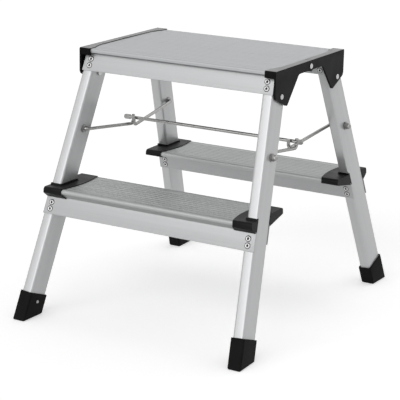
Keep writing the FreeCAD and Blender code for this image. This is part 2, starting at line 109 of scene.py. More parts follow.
world = bpy.data.worlds.new("studio")
bpy.context.scene.world = world
world.use_nodes = True
background = world.node_tree.nodes["Background"]
background.inputs["Color"].default_value = (1, 1, 1, 1)
strength = world.node_tree.nodes.new("ShaderNodeMapRange")
strength.inputs["To Min"].default_value = surround_light
strength.inputs["To Max"].default_value = 1
world.node_tree.links.new(white_to_rays(world.node_tree.nodes, world.node_tree.links), strength.inputs["Value"])
world.node_tree.links.new(strength.outputs["Result"], background.inputs["Strength"])

# %% Lamps
key_strength = 1.15
fill_strength = 0.5


def sun(name, turn, rise, strength_value, spread):
    """A broad sun from a turn round the stool, 0 at its front, and a rise above the floor."""
    lamp = bpy.data.lights.new(name, "SUN")
    lamp.energy = strength_value
    lamp.angle = math.radians(spread)
    lamp_object = bpy.data.objects.new(name, lamp)
    bpy.context.scene.collection.objects.link(lamp_object)
    t, r = math.radians(turn), math.radians(rise)
    towards = Vector((math.sin(t) * math.cos(r), -math.cos(t) * math.cos(r), math.sin(r)))
    lamp_object.rotation_mode = "QUATERNION"
    lamp_object.rotation_quaternion = (-towards).to_track_quat("-Z", "Y")


sun("key_sun", -6, 26, key_strength, 50)
sun("fill_sun", 160, 55, fill_strength, 60)

# %% Floor
floor_size = 30.0
floor_white = 0.82
floor_lift = 0.47


def floor_material():
    """Matt white paper that keeps a shadow, lifted to white where the camera sees it."""
    material = bpy.data.materials.new("white_paper")
    material.use_nodes = True
    nodes, links = material.node_tree.nodes, material.node_tree.links
    shader = nodes["Principled BSDF"]
    shader.inputs["Base Color"].default_value = (floor_white, floor_white, floor_white, 1)
    shader.inputs["Roughness"].default_value = 0.9
    shader.inputs["Specular IOR Level"].default_value = 0.0
    shader.inputs["Emission Color"].default_value = (1, 1, 1, 1)
    lift = nodes.new("ShaderNodeMapRange")
    lift.inputs["To Max"].default_value = floor_lift
    links.new(white_to_rays(nodes, links), lift.inputs["Value"])
    links.new(lift.outputs["Result"], shader.inputs["Emission Strength"])
    return material


bpy.ops.mesh.primitive_plane_add(size=floor_size, location=(0, 0, 0))
floor = bpy.context.object
floor.name = "floor"
floor.data.materials.append(floor_material())
print("Floor", floor_size, "metres across")

# %% [markdown]
# ## Finishes
# Each finish is a node network on one shader. A flat colour would do for a diagram, but metal drawn
# through a die has fine streaks along its length, moulded plastic has a grain, and plated wire is
# cloudy. A noise texture, stretched by a mapping along the streaks, drives colour, roughness and bump.


# %% Finish helpers
def blank_finish(name):
    """A material with its nodes, links and shader."""
    material = bpy.data.materials.new(name)
    material.use_nodes = True
    nodes, links = material.node_tree.nodes, material.node_tree.links
    return material, nodes, links, nodes["Principled BSDF"]


def noise(nodes, links, source, scale, stretch, detail):
    """Noise on Object or UV coordinates, squeezed by a stretch for each axis."""
    coordinates = nodes.new("ShaderNodeTexCoord")
    mapping = nodes.new("ShaderNodeMapping")
    mapping.inputs["Scale"].default_value = stretch
    texture = nodes.new("ShaderNodeTexNoise")
    texture.inputs["Scale"].default_value = scale
    texture.inputs["Detail"].default_value = detail
    links.new(coordinates.outputs[source], mapping.inputs["Vector"])
    links.new(mapping.outputs["Vector"], texture.inputs["Vector"])
    return texture.outputs["Fac"]


def between(nodes, links, value, low, high):
    """Spread a noise value over a range."""
    spread = nodes.new("ShaderNodeMapRange")
    spread.inputs["From Min"].default_value = 0.3
    spread.inputs["From Max"].default_value = 0.7
    spread.inputs["To Min"].default_value = low
    spread.inputs["To Max"].default_value = high
    links.new(value, spread.inputs["Value"])
    return spread.outputs["Result"]


def tint(nodes, links, value, dark, light):
    """Mix two colours by a value from 0 to 1."""
    mix = nodes.new("ShaderNodeMix")
    mix.data_type = "RGBA"
    mix.inputs["A"].default_value = (*dark, 1)
    mix.inputs["B"].default_value = (*light, 1)
    links.new(value, mix.inputs["Factor"])
    return mix.outputs["Result"]


def bump(nodes, links, height, distance, power, shader):
    """Raise the surface a little where the height value is high."""
    raised = nodes.new("ShaderNodeBump")
    raised.inputs["Distance"].default_value = distance
    raised.inputs["Strength"].default_value = power
    links.new(height, raised.inputs["Height"])
    links.new(raised.outputs["Normal"], shader.inputs["Normal"])


def drawn_metal(name, source, stretch, dark, light, rough, metal):
    """Satin metal with streaks along the direction whose stretch is smallest."""
    material, nodes, links, shader = blank_finish(name)
    broad = noise(nodes, links, source, 1.0, tuple(v * 0.12 for v in stretch), 2)
    fine = noise(nodes, links, source, 1.0, stretch, 5)
    both = nodes.new("ShaderNodeMath")
    both.operation = "ADD"
    links.new(broad, both.inputs[0])
    links.new(fine, both.inputs[1])
    half = nodes.new("ShaderNodeMath")
    half.operation = "MULTIPLY"
    half.inputs[1].default_value = 0.5
    links.new(both.outputs[0], half.inputs[0])
    streaks = between(nodes, links, half.outputs[0], 0, 1)
    links.new(tint(nodes, links, streaks, dark, light), shader.inputs["Base Color"])
    links.new(between(nodes, links, fine, rough - 0.05, rough + 0.07), shader.inputs["Roughness"])
    shader.inputs["Metallic"].default_value = metal
    bump(nodes, links, fine, 0.0002, 0.25, shader)
    return material


def painted_top_sheen(nodes, links, colour, top_sheen_colour, clouds):
    """Mix a paler colour in where the piece's own surface faces upwards: a painted sheen that stands for the
    reflection of the white surround.
    """
    coordinates = nodes.new("ShaderNodeTexCoord")
    split = nodes.new("ShaderNodeSeparateXYZ")
    links.new(coordinates.outputs["Normal"], split.inputs[0])
    upward = nodes.new("ShaderNodeMapRange")
    upward.inputs["From Min"].default_value = 0.86
    upward.inputs["From Max"].default_value = 0.99
    links.new(split.outputs["Z"], upward.inputs["Value"])
    sheen_amount = nodes.new("ShaderNodeMath")
    sheen_amount.operation = "MULTIPLY"
    links.new(upward.outputs["Result"], sheen_amount.inputs[0])
    links.new(between(nodes, links, clouds, 0.75, 1.0), sheen_amount.inputs[1])
    # Painted reflection: the upward faces take the paler colour, as if they showed the white surround.
    mix = nodes.new("ShaderNodeMix")
    mix.data_type = "RGBA"
    mix.inputs["B"].default_value = (*top_sheen_colour, 1)
    links.new(colour, mix.inputs["A"])
    links.new(sheen_amount.outputs[0], mix.inputs["Factor"])
    return mix.outputs["Result"]


def moulded_plastic(name, dark, light, rough, gloss, grain, depth, top_sheen_colour=None):
    """Moulded plastic or rubber with an even grain and faint cloudiness, and a painted sheen on its upward faces if
    asked.
    """
    material, nodes, links, shader = blank_finish(name)
    clouds = noise(nodes, links, "Object", 30.0, (1, 1, 1), 3)
    pits = noise(nodes, links, "Object", grain, (1, 1, 1), 2)
    colour = tint(nodes, links, between(nodes, links, clouds, 0, 1), dark, light)
    links.new(painted_top_sheen(nodes, links, colour, top_sheen_colour, clouds) if top_sheen_colour else colour, shader.inputs["Base Color"])
    links.new(between(nodes, links, clouds, rough - 0.06, rough + 0.08), shader.inputs["Roughness"])
    shader.inputs["Specular IOR Level"].default_value = gloss
    bump(nodes, links, pits, depth, 0.4, shader)
    return material


# %% Finishes of this stool
along_x = (4.0, 420.0, 420.0)
along_stile = (420.0, 4.0, 1.0)
every_way = (60.0, 60.0, 60.0)
finishes = {
    "stile_metal": drawn_metal("stile_metal", "UV", along_stile, (0.48, 0.485, 0.49), (0.55, 0.555, 0.56), 0.33, 0.5),
    "rail_metal": drawn_metal("rail_metal", "Object", along_x, (0.405, 0.41, 0.415), (0.46, 0.465, 0.47), 0.36, 0.5),
    "tread_metal": drawn_metal("tread_metal", "Object", along_x, (0.40, 0.41, 0.41), (0.46, 0.47, 0.47), 0.42, 0.45),
    "deck_metal": drawn_metal("deck_metal", "Object", along_x, (0.42, 0.43, 0.44), (0.47, 0.48, 0.49), 0.44, 0.45),
    "rivet_metal": drawn_metal("rivet_metal", "Object", every_way, (0.42, 0.42, 0.42), (0.58, 0.58, 0.58), 0.24, 0.95),
    "zinc": drawn_metal("zinc", "Object", every_way, (0.24, 0.24, 0.235), (0.42, 0.42, 0.41), 0.28, 0.9),
    # The next two finishes are painted shade for the blind rivets: a dark disc round each head for its contact shadow,
    # and a near-black disc in each hole.
    "painted_rim_shadow": moulded_plastic("painted_rim_shadow", (0.03, 0.03, 0.03), (0.09, 0.09, 0.09), 0.6, 0.3, 900.0, 0.0001),
    "painted_hole_shade": moulded_plastic("painted_hole_shade", (0.01, 0.01, 0.01), (0.03, 0.03, 0.03), 0.6, 0.3, 900.0, 0.0001),
    "black_moulding": moulded_plastic("black_moulding", (0.006, 0.006, 0.0065), (0.011, 0.011, 0.0115), 0.42, 0.10,
                                      1400.0, 0.00012),
    # The bracket moulding's last colour is painted sheen: its upward faces are made paler to stand for a reflection of
    # the surround.
    "bracket_moulding": moulded_plastic("bracket_moulding", (0.003, 0.003, 0.0033), (0.006, 0.006, 0.0064), 0.45,
                                        0.06, 1400.0, 0.00012, (0.42, 0.42, 0.42)),
    "black_rubber": moulded_plastic("black_rubber", (0.005, 0.005, 0.005), (0.010, 0.010, 0.010), 0.60, 0.06,
                                    900.0, 0.0002),
    "nylon": moulded_plastic("nylon", (0.62, 0.62, 0.58), (0.74, 0.74, 0.70), 0.45, 0.5, 600.0, 0.0001),
}
print("Finishes:", ", ".join(finishes))

# %% [markdown]
# ## The frame's geometry
# The stool's two frames lean apart and their stiles also spread, so no edge of a stile is square to
# anything. It helps to have one function that turns distances along and across a stile into a point,
# and one that says where a slanted cut crosses a rail. Both use the CAD's own angles.

# %% Directions
stool_height = 0.460
lean = math.radians(20.6)
splay = math.radians(4.7)
frame_top_out = 0.0884
stile_top_x = 0.173
down = Vector((0, -math.sin(lean), -math.cos(lean)))
outward = Vector((0, -math.cos(lean), math.sin(lean)))
frame_origin = Vector((0, -frame_top_out, stool_height))
stile_down = down * math.cos(splay) + Vector((math.sin(splay), 0, 0))
stile_across = Vector((math.cos(splay), 0, 0)) - down * math.sin(splay)
stile_origin = frame_origin + Vector((stile_top_x, 0, 0))


def frame_point(x, slope, out):
    """Point of the front frame: X, distance down the slope, distance out of its mid-plane."""
    return frame_origin + Vector((x, 0, 0)) + down * slope + outward * out


def slope_at(z, out):
    """Distance down the slope of the point at height z that lies out of the mid-plane."""
    return (stool_height - z + out * math.sin(lean)) / math.cos(lean)


def out_at(z, out):
    """How far to the front the point at height z lies."""
    return -frame_point(0, slope_at(z, out), out).y


def stile_x(slope):
    """X of the stile's centre line at a distance down the slope."""
    return stile_top_x + slope * math.tan(splay)


def slanted_x(out, z, offset):
    """X where a cut along the stile, at an offset across it, crosses a line along the stool."""
    rest = Vector((0, -out, z)) - stile_origin
    return (offset - rest.dot(stile_across)) / stile_across.x


# %% [markdown]
# ## Making meshes
# Most pieces of this stool are drawn sections: a closed outline, pushed along a line, with its ends cut
# square or on a slant. Blender could extrude a flat face, but slanted ends would still need a cut. It
# is shorter to work out where each outline point ends, and to join the two ends with faces.


# %% Outline helpers
def rounded(points, steps=5):
    """Outline through (out, z, radius) points, its corners rounded by arcs."""
    outline = []
    for i, (out, z, radius) in enumerate(points):
        corner = Vector((out, z))
        if radius == 0:
            outline.append(corner)
            continue
        before = (Vector(points[i - 1][:2]) - corner).normalized()
        after = (Vector(points[(i + 1) % len(points)][:2]) - corner).normalized()
        half = before.angle(after) / 2
        centre = corner + (before + after).normalized() * (radius / math.sin(half))
        first = corner + before * (radius / math.tan(half)) - centre
        last = corner + after * (radius / math.tan(half)) - centre
        sweep = first.angle_signed(last)
        outline += [centre + Matrix.Rotation(-sweep * k / steps, 2) @ first for k in range(steps + 1)]
    return outline


def drawn(outlines, x_end):
    """Mesh of closed outlines drawn along X, each point ending at plus and minus x_end of it."""
    mesh = bmesh.new()
    for outline in outlines:
        right = [mesh.verts.new((x_end(p.x, p.y), -p.x, p.y)) for p in outline]
        left = [mesh.verts.new((-x_end(p.x, p.y), -p.x, p.y)) for p in outline]
        count = len(outline)
        mesh.faces.new(right)
        mesh.faces.new(left[::-1])
        for i in range(count):
            j = (i + 1) % count
            mesh.faces.new((right[j], right[i], left[i], left[j]))
    return settled(mesh, True)


def settled(work, recalculate):
    """Turn a bmesh into a mesh, merged, with its faces outwards and big faces split."""
    bmesh.ops.remove_doubles(work, verts=work.verts, dist=1e-6)
    if recalculate:
        bmesh.ops.recalc_face_normals(work, faces=work.faces)
    bmesh.ops.triangulate(work, faces=[f for f in work.faces if len(f.verts) > 4])
    mesh = bpy.data.meshes.new("piece")
    work.to_mesh(mesh)
    work.free()
    return mesh


def shaded(mesh, angle=32, flat_area=None):
    """Smooth shading, kept sharp where faces meet at more than the angle, and flat on big faces."""
    mesh.shade_smooth()
    mesh.set_sharp_from_angle(angle=math.radians(angle))
    for face in mesh.polygons if flat_area else ():
        face.use_smooth = face.area < flat_area
    return mesh


# %% Placing helpers
turn_round = Matrix.Rotation(math.pi, 4, "Z")
mirror = Matrix.Scale(-1, 4, (1, 0, 0))
made = []


def place(name, mesh, finish, body, *nodes):
    """Link a finished mesh as a piece on its body, standing for its CAD nodes."""
    piece = bpy.data.objects.new(name, mesh)
    bpy.context.scene.collection.objects.link(piece)
    if finish:
        mesh.materials.clear()
        mesh.materials.append(finishes[finish])
    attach(piece, body)
    if nodes:
        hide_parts(*nodes)
    made.append((name, len(mesh.polygons)))
    return piece


def moved(mesh, matrix):
    """Copy of a mesh, moved, and turned the right way out again if the move mirrors it."""
    copy = mesh.copy()
    copy.transform(matrix)
    if matrix.determinant() < 0:
        copy.flip_normals()
    return copy


def four_corners(kind, mesh, finish):
    """The same piece on all four stiles, from the front right one."""
    places = (("front", "right", Matrix()), ("front", "left", mirror),
              ("rear", "left", turn_round), ("rear", "right", turn_round @ mirror))
    for end, side, matrix in places:
        node = f"{end}_{kind}_{side}"
        place(f"{node}_fine", shaded(moved(mesh, matrix)), finish, f"{end}_frame", node)


def both_ends(kind, mesh, finish, name=None):
    """The same piece on the front frame and, turned round, on the rear one."""
    for end, matrix in (("front", Matrix()), ("rear", turn_round)):
        node = f"{end}_{kind}"
        place(f"{end}_{name or kind}_fine", shaded(moved(mesh, matrix)), finish, f"{end}_frame", node)


# %% [markdown]
# ## Stiles
# Each stile is a rounded rectangular tube, drawn and then anodised, so the streaks of its finish run
# along it. The stiles point four ways, and object coordinates would run the streaks across them. So
# the mesh gets its own UV map: distance round the section and distance along the tube, in metres.

# %% Stiles
stile_width = 0.020
stile_depth = 0.045
stile_corner = 0.004
stile_end = 0.475
stile_top_z = 0.4486


def stile_section():
    """Rounded rectangle across the stile."""
    w, d = stile_width / 2, stile_depth / 2
    return rounded([(w, d, stile_corner), (-w, d, stile_corner), (-w, -d, stile_corner), (w, -d, stile_corner)], 8)


def stile_mesh():
    """The front right stile: section points joined from the rail down into the foot."""
    section = stile_section()
    work = bmesh.new()
    uv = work.loops.layers.uv.new("along")
    rows = []
    for across, out in section:
        start = stile_origin + stile_across * across + outward * out
        top = (stile_top_z - start.z) / stile_down.z
        rows.append((work.verts.new(start + stile_down * top), work.verts.new(start + stile_down * stile_end)))
    round_it = 0.0
    for i, (top, low) in enumerate(rows):
        next_top, next_low = rows[(i + 1) % len(rows)]
        step = (section[(i + 1) % len(rows)] - section[i]).length
        face = work.faces.new((top, low, next_low, next_top))
        for loop, (u, v) in zip(face.loops, ((0, 0), (0, stile_end), (step, stile_end), (step, 0))):
            loop[uv].uv = (round_it + u, v)
        round_it += step
    work.faces.new([top for top, _ in rows])
    work.faces.new([low for _, low in rows][::-1])
    bmesh.ops.recalc_face_normals(work, faces=work.faces)
    return settled(work, False)


four_corners("stile", stile_mesh(), "stile_metal")
print("Stiles:", made[-1])

# %% [markdown]
# ## Rails and treads
# The top rail is a channel over the tops of the stiles, and the tread is a deeper section with rounded
# lips, slanted webs and two skirts that are riveted to the stiles. Both are drawn sections. The thin
# edges of real sections are slightly round, and those roundings are what catches the light.

# %% Top rails
flange = 0.0015
skirt_out = stile_depth / 2 + flange
face_out = stile_depth / 2
rail_top_z = 0.4504
rail_low_z = 0.4205
rail_round = 0.0011
edge_round = 0.0005


def rail_outline():
    """Section of the top rail, from its front skirt over the top to its rear skirt."""
    web_z = rail_top_z - flange
    return rounded([
        (out_at(rail_low_z, skirt_out), rail_low_z, edge_round),
        (out_at(rail_top_z, skirt_out), rail_top_z, rail_round),
        (out_at(rail_top_z, -skirt_out), rail_top_z, rail_round),
        (out_at(rail_low_z, -skirt_out), rail_low_z, edge_round),
        (out_at(rail_low_z, -face_out), rail_low_z, 0), (out_at(web_z, -face_out), web_z, 0),
        (out_at(web_z, face_out), web_z, 0), (out_at(rail_low_z, face_out), rail_low_z, 0)], 4)


both_ends("top_rail", drawn([rail_outline()], lambda out, z: slanted_x(out, z, stile_width / 2)), "rail_metal")
print("Rails:", made[-1])

# %% Treads
tread_top_z = 0.227
tread_front = 0.220
tread_back = 0.107
lip = 0.0047
waist_z = 0.210
tread_low_z = 0.180
tread_wall = 0.0018
land_height = 0.0007
groove_count = 10
groove_pitch = 0.010
groove_width = 0.0022
first_groove = tread_back + 0.0115


def lip_arc(centre_out, start, stop, steps=8):
    """Points of a lip's rounding, angles in degrees from the front, upwards."""
    centre = Vector((centre_out, tread_top_z - lip))
    turns = [math.radians(start + (stop - start) * k / steps) for k in range(steps + 1)]
    return [centre + Vector((math.cos(t), math.sin(t))) * lip for t in turns]


def tread_outline():
    """Section of the tread above the stiles' faces, without its lands."""
    front_waist, back_waist = out_at(waist_z, skirt_out), out_at(waist_z, -skirt_out)
    floor_z = tread_top_z - land_height
    outer = [Vector((front_waist, waist_z))] + lip_arc(tread_front - lip, -66, 90)
    outer += [Vector((tread_front - lip - 0.001, floor_z)), Vector((tread_back + lip + 0.001, floor_z))]
    outer += lip_arc(tread_back + lip, 90, 246) + [Vector((back_waist, waist_z))]
    inner_z = tread_top_z - 0.0024
    inner = [(back_waist + 0.003, waist_z + tread_wall), (tread_back + 0.008, inner_z - 0.004),
             (tread_back + 0.010, inner_z), (tread_front - 0.010, inner_z),
             (tread_front - 0.0085, inner_z - 0.004), (front_waist - 0.003, waist_z + tread_wall)]
    return outer + [Vector(point) for point in inner]


def skirt_outline(side):
    """Flat flange on the stiles' outer or inner face."""
    top, face, skin = waist_z + 0.0012, side * face_out, side * skirt_out
    return rounded([(out_at(top, face), top, 0), (out_at(top, skin), top, 0),
                    (out_at(tread_low_z, skin), tread_low_z, edge_round),
                    (out_at(tread_low_z, face), tread_low_z, edge_round)], 3)


tread_body = drawn([tread_outline()], lambda out, z: slanted_x(out, z, -stile_width / 2 - 0.0004))
both_ends("tread", tread_body, "tread_metal")
skirts = drawn([skirt_outline(1), skirt_outline(-1)], lambda out, z: slanted_x(out, z, stile_width / 2))
for end_name, end_matrix in (("front", Matrix()), ("rear", turn_round)):
    place(f"{end_name}_tread_skirts", shaded(moved(skirts, end_matrix)), "rail_metal", f"{end_name}_frame")
print("Treads:", made[-1])

# %% [markdown]
# ## Platform
# The platform is two wide drawn plates that meet in a seam. Each has a rounded outer edge, and ribs
# underneath that stiffen it. The seam has to stay open a hair, because the plates swing on the two
# sides of it, so each plate's section stops short of the middle as the CAD's does.

# %% Platform plates
deck_top_z = 0.4588
deck_low_z = 0.4530
deck_front = 0.1255
deck_half_length = 0.185
deck_lip_round = 0.0024
deck_lip_low = 0.4518
deck_lip_back = 0.1212
seam_gap = 0.0004
deck_skin = 0.0022
deck_rib = 0.0018
deck_rib_count = 7
deck_land = 0.0006
deck_edge = deck_front - deck_lip_round


def deck_outline():
    """Plate with its rounded front lip, and a hollow between each pair of ribs."""
    low_skin, floor_z = deck_top_z - deck_skin, deck_top_z - deck_land
    pitch = (deck_edge - seam_gap - deck_rib) / (deck_rib_count - 1)
    points = [(seam_gap, floor_z, 0), (seam_gap, deck_low_z, 0)]
    for i in range(deck_rib_count - 1):
        start = seam_gap + i * pitch + deck_rib
        last = i == deck_rib_count - 2
        stop = min(start + pitch - deck_rib, deck_lip_back)
        points += [(start, deck_low_z, 0), (start, low_skin, 0), (stop, low_skin, 0),
                   (stop, deck_lip_low if last else deck_low_z, 0)]
    return rounded(points + [(deck_front, deck_lip_low, 0.0012), (deck_front, deck_top_z, deck_lip_round),
                             (deck_edge - 0.0002, deck_top_z, 0), (deck_edge - 0.0006, floor_z, 0)], 7)


plate_mesh = drawn([deck_outline()], lambda out, z: deck_half_length)
for end_name, end_matrix in (("front", Matrix()), ("rear", turn_round)):
    place(f"{end_name}_platform_plate", shaded(moved(plate_mesh, end_matrix)), "deck_metal",
          f"{end_name}_platform_half", f"{end_name}_platform")
print("Platform:", made[-1])

# %% [markdown]
# ## Lands
# Feet grip on the raised lands of the treads and the platform. They could be part of each section, but
# they are one bar repeated at a pitch, which is what Geometry Nodes are for. The tree draws a rounded
# bar, sets it on a line of points, makes the copies real and gives them their finish.


# %% Geometry Nodes helpers
def new_tree(name, sockets):
    """An empty tree with a geometry input and output and the named inputs."""
    tree = bpy.data.node_groups.new(name, "GeometryNodeTree")
    tree.interface.new_socket("Geometry", in_out="INPUT", socket_type="NodeSocketGeometry")
    for label, kind in sockets:
        tree.interface.new_socket(label, in_out="INPUT", socket_type=f"NodeSocket{kind}")
    tree.interface.new_socket("Geometry", in_out="OUTPUT", socket_type="NodeSocketGeometry")
    return tree, tree.nodes.new("NodeGroupInput"), tree.nodes.new("NodeGroupOutput")


def finish_tree(tree, source, entry, leave, label="Finish"):
    """End a tree: make its instances real and give them the finish."""
    real = tree.nodes.new("GeometryNodeRealizeInstances")
    paint = tree.nodes.new("GeometryNodeSetMaterial")
    tree.links.new(source, real.inputs[0])
    tree.links.new(real.outputs[0], paint.inputs["Geometry"])
    tree.links.new(entry.outputs[label], paint.inputs["Material"])
    tree.links.new(paint.outputs[0], leave.inputs[0])


def grown(tree, seed_mesh, **values):
    """Run a tree on a seed mesh and return the result as a plain mesh."""
    seed = bpy.data.objects.new("seed", seed_mesh)
    bpy.context.scene.collection.objects.link(seed)
    modifier = seed.modifiers.new("grow", "NODES")
    modifier.node_group = tree
    for item in tree.interface.items_tree:
        if item.item_type == "SOCKET" and item.in_out == "INPUT" and item.name in values:
            modifier[item.identifier] = values[item.name]
    depsgraph = bpy.context.evaluated_depsgraph_get()
    mesh = bpy.data.meshes.new_from_object(seed.evaluated_get(depsgraph), depsgraph=depsgraph)
    bpy.data.objects.remove(seed)
    return mesh


def points_mesh(points, edges=()):
    """Bare points, with edges where they form a path."""
    mesh = bpy.data.meshes.new("points")
    mesh.from_pydata([tuple(p) for p in points], list(edges), [])
    return mesh


# %% The tree of lands
def lands_tree():
    """A rounded bar of Length, Width and Height along X on every point of the seed."""
    tree, entry, leave = new_tree("lands", [("Length", "Float"), ("Width", "Float"), ("Height", "Float"),
                                            ("Round", "Float"), ("Finish", "Material")])
    nodes, links = tree.nodes, tree.links
    section = nodes.new("GeometryNodeCurvePrimitiveQuadrilateral")
    links.new(entry.outputs["Width"], section.inputs["Width"])
    links.new(entry.outputs["Height"], section.inputs["Height"])
    soft = nodes.new("GeometryNodeFilletCurve")
    soft.mode = "POLY"
    soft.inputs["Count"].default_value = 3
    links.new(section.outputs[0], soft.inputs["Curve"])
    links.new(entry.outputs["Round"], soft.inputs["Radius"])
    line = nodes.new("GeometryNodeCurvePrimitiveLine")
    ends = []
    for sign in (-0.5, 0.5):
        scale = nodes.new("ShaderNodeMath")
        scale.operation = "MULTIPLY"
        scale.inputs[1].default_value = sign
        combine = nodes.new("ShaderNodeCombineXYZ")
        links.new(entry.outputs["Length"], scale.inputs[0])
        links.new(scale.outputs[0], combine.inputs["X"])
        ends.append(combine)
    links.new(ends[0].outputs[0], line.inputs["Start"])
    links.new(ends[1].outputs[0], line.inputs["End"])
    bar = nodes.new("GeometryNodeCurveToMesh")
    bar.inputs["Fill Caps"].default_value = True
    links.new(line.outputs[0], bar.inputs["Curve"])
    links.new(soft.outputs[0], bar.inputs["Profile Curve"])
    spread = nodes.new("GeometryNodeInstanceOnPoints")
    links.new(entry.outputs["Geometry"], spread.inputs["Points"])
    links.new(bar.outputs[0], spread.inputs["Instance"])
    finish_tree(tree, spread.outputs[0], entry, leave)
    return tree


lands = lands_tree()

# %% Lands on the treads and the platform
tread_land_length = 2 * 0.1805
tread_land_width = groove_pitch - groove_width
deck_groove_count = 10
deck_groove_width = 0.0016


def land_centres(first, pitch, count, z):
    """Middles of the lands between grooves, half sunk in the plate under them."""
    return [Vector((0, -(first + pitch * k), z)) for k in range(count)]


land_points = land_centres(first_groove + groove_pitch / 2, groove_pitch, groove_count - 1, tread_top_z - land_height)
tread_lands = grown(lands, points_mesh(land_points), Length=tread_land_length, Width=tread_land_width,
                    Height=2 * land_height, Round=0.0005, Finish=finishes["tread_metal"])
deck_pitch = (deck_edge - seam_gap) / (deck_groove_count + 1)
deck_points = land_centres(seam_gap + deck_pitch / 2, deck_pitch, deck_groove_count + 1, deck_top_z - deck_land)
deck_lands = grown(lands, points_mesh(deck_points), Length=2 * deck_half_length - 0.0002,
                   Width=deck_pitch - deck_groove_width, Height=2 * deck_land, Round=0.0003,
                   Finish=finishes["deck_metal"])
for end_name, end_matrix in (("front", Matrix()), ("rear", turn_round)):
    place(f"{end_name}_tread_lands", shaded(moved(tread_lands, end_matrix)), None, f"{end_name}_frame")
    place(f"{end_name}_platform_lands", shaded(moved(deck_lands, end_matrix)), None, f"{end_name}_platform_half")
print("Lands:", made[-2:])

# %% [markdown]
# ## Mouldings
# The brackets, tread caps and feet are injection mouldings. Their CAD solids have the right form, but
# their edges are knife sharp, and a real mould has none. A bevel on a copy of the solid rounds them.
# The copy is merged first, because an imported mesh is loose triangles that a bevel can't follow.

# %% Mouldings
cap_round = 0.0006
moulding_round = 0.0007
sharp_edge = math.radians(38)
big_face = 4e-5


def merged(node):
    """Clean copy of a CAD node: merged, with flat areas as single faces."""
    work = bmesh.new()
    work.from_mesh(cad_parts[node].data)
    bmesh.ops.remove_doubles(work, verts=work.verts, dist=3e-6)
    bmesh.ops.dissolve_limit(work, angle_limit=math.radians(0.6), verts=work.verts, edges=work.edges)
    vertices = [v.co.copy() for v in work.verts]
    work.verts.index_update()
    faces = [[v.index for v in f.verts] for f in work.faces]
    work.free()
    mesh = bpy.data.meshes.new(node)
    mesh.from_pydata(vertices, [], faces)
    return mesh


def softened(node, width, segments=2):
    """A CAD node's copy with its sharp edges rounded."""
    piece = bpy.data.objects.new("soft", merged(node))
    bpy.context.scene.collection.objects.link(piece)
    bevel = piece.modifiers.new("round", "BEVEL")
    bevel.width = width
    bevel.segments = segments
    bevel.limit_method = "ANGLE"
    bevel.angle_limit = sharp_edge
    bevel.harden_normals = False
    depsgraph = bpy.context.evaluated_depsgraph_get()
    mesh = bpy.data.meshes.new_from_object(piece.evaluated_get(depsgraph), depsgraph=depsgraph)
    bpy.data.objects.remove(piece)
    return mesh


def soften_node(node, finish, body, width):
    """Replace a CAD node by its rounded copy."""
    place(f"{node}_fine", shaded(softened(node, width), 50, big_face), finish, body, node)


for end_name in ("front", "rear"):
    for side_name in ("right", "left"):
        soften_node(f"{end_name}_bracket_{side_name}", "bracket_moulding", f"{end_name}_platform_half", moulding_round)
        soften_node(f"{end_name}_tread_cap_{side_name}", "black_moulding", f"{end_name}_frame", cap_round)
print("Mouldings:", made[-3:])

# %% [markdown]
# ## Shoes
# A shoe is cut level with the floor, and its sole wears at the edge. The copy of the front right shoe gets
# a wider rounding round its sole than round its rim. Mirrored and turned, the same mesh makes all four.

# %% Feet
sole_round = 0.0012
sole_band = 0.0001
rim_band = 0.02
rim_round = 0.0005


def foot_mesh():
    """The front right foot's copy, its sole worn round at the edges and its rim eased."""
    work = bmesh.new()
    work.from_mesh(merged("front_foot_right"))
    sole = [e for e in work.edges if all(v.co.z < sole_band for v in e.verts) and
            any(f.normal.z > -0.9 for f in e.link_faces)]
    bmesh.ops.bevel(work, geom=sole, offset=sole_round, segments=5, profile=0.5, affect="EDGES")
    rim_z = max(v.co.z for v in work.verts) - rim_band
    rim = [e for e in work.edges if len(e.link_faces) == 2 and all(v.co.z > rim_z for v in e.verts) and
           e.calc_face_angle() > sharp_edge]
    bmesh.ops.bevel(work, geom=rim, offset=rim_round, segments=2, profile=0.5, affect="EDGES")
    return settled(work, False)


four_corners("foot", foot_mesh(), "black_rubber")
print("Feet:", made[-1])

# %% [markdown]
# ## Flanges
# Each bracket holds the platform's end with a flange, which the CAD has narrower than the photo shows. A
# strip beside it makes up the rest. It starts where the CAD's flange ends, because two faces in one plane
# flicker where they overlap.

# %% Flanges over the platform's ends
flange_out_x = 0.1838
flange_in_x = 0.1795
flange_corner_x = 0.1720
flange_corner_from = 0.084
flange_end = 0.112
flange_top_z = 0.45995
flange_round = 0.0003


def flange_mesh():
    """Inner edge of the front right bracket's flange, on the plate and wider towards the nose."""
    work = bmesh.new()
    edge = [(flange_out_x, seam_gap), (flange_out_x, flange_end), (flange_corner_x, flange_end),
            (flange_in_x, flange_corner_from), (flange_in_x, seam_gap)]
    low = [work.verts.new((x, -out, deck_top_z)) for x, out in edge]
    high = [work.verts.new((x, -out, flange_top_z)) for x, out in edge]
    work.faces.new(low[::-1])
    work.faces.new(high)
    for i in range(len(edge)):
        j = (i + 1) % len(edge)
        work.faces.new((low[i], low[j], high[j], high[i]))
    rim = [e for e in work.edges if all(v.co.z > deck_top_z + 0.0001 for v in e.verts)]
    bmesh.ops.bevel(work, geom=rim, offset=flange_round, segments=2, profile=0.5, affect="EDGES")
    return settled(work, True)


# The flanges share the bracket moulding, so their tops carry its painted sheen too.
for end_name, side_name, place_matrix in (("front", "right", Matrix()), ("front", "left", mirror),
                                          ("rear", "left", turn_round), ("rear", "right", turn_round @ mirror)):
    place(f"{end_name}_flange_{side_name}", shaded(moved(flange_mesh(), place_matrix)), "bracket_moulding",
          f"{end_name}_platform_half")
print("Flanges:", made[-1])

# %% [markdown]
# ## Pivot rivets
# The rivets of the pivots have a smooth domed head outside and a flat tail inside. Their CAD solids
# have a flat cone for a head. A turned profile gives the dome, and bmesh can spin one about an axis.

# %% Pivot rivets
dome_radius = 0.0046
dome_rise = 0.0018
shank_radius = 0.0029
tail_thick = 0.0018


